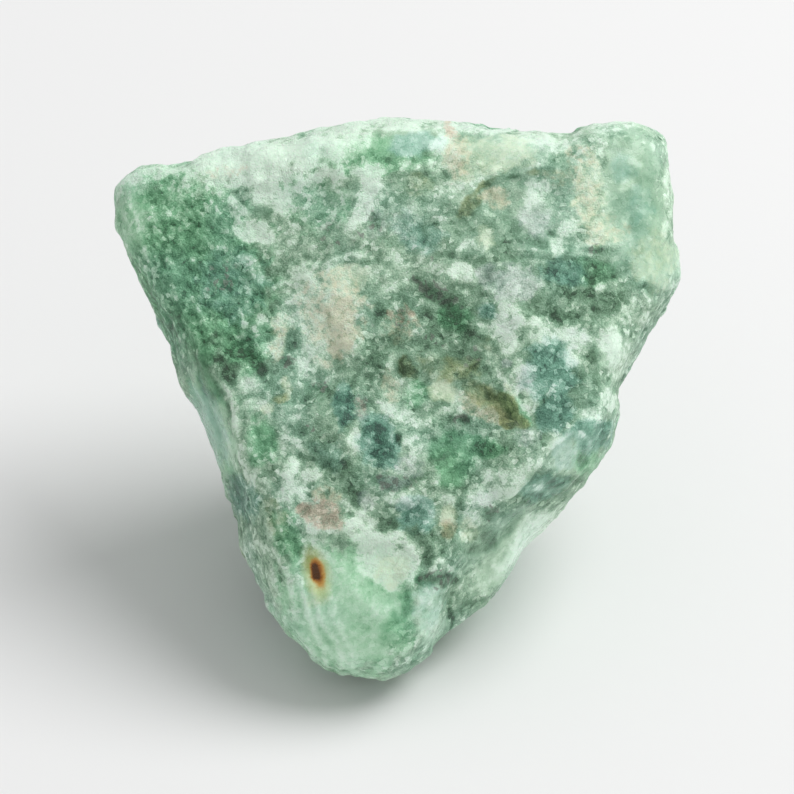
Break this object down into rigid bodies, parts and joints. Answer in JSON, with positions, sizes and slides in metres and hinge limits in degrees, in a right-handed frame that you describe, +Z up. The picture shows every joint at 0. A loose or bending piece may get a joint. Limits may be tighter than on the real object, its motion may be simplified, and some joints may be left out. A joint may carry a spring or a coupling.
{
  "type": "rough green aventurine stone",
  "caption": "Rough lump of green aventurine with a broad mottled fracture face that leans back, broken sides and a small flat spot to rest on.",
  "frame": {"origin": "on the surface the stone rests on, under the middle of its box", "axes": "+Z up, +X across the broad fracture face to its right, +Y towards the steep back"},
  "size_m": [0.0352, 0.0274, 0.028],
  "materials": {
    "green_aventurine": "rough broken rock, slightly waxy, mottled pale mint, sea green, dark green and white"
  },
  "bodies": {
    "root": {"aventurine_stone": "green_aventurine"}
  },
  "joints": []
}
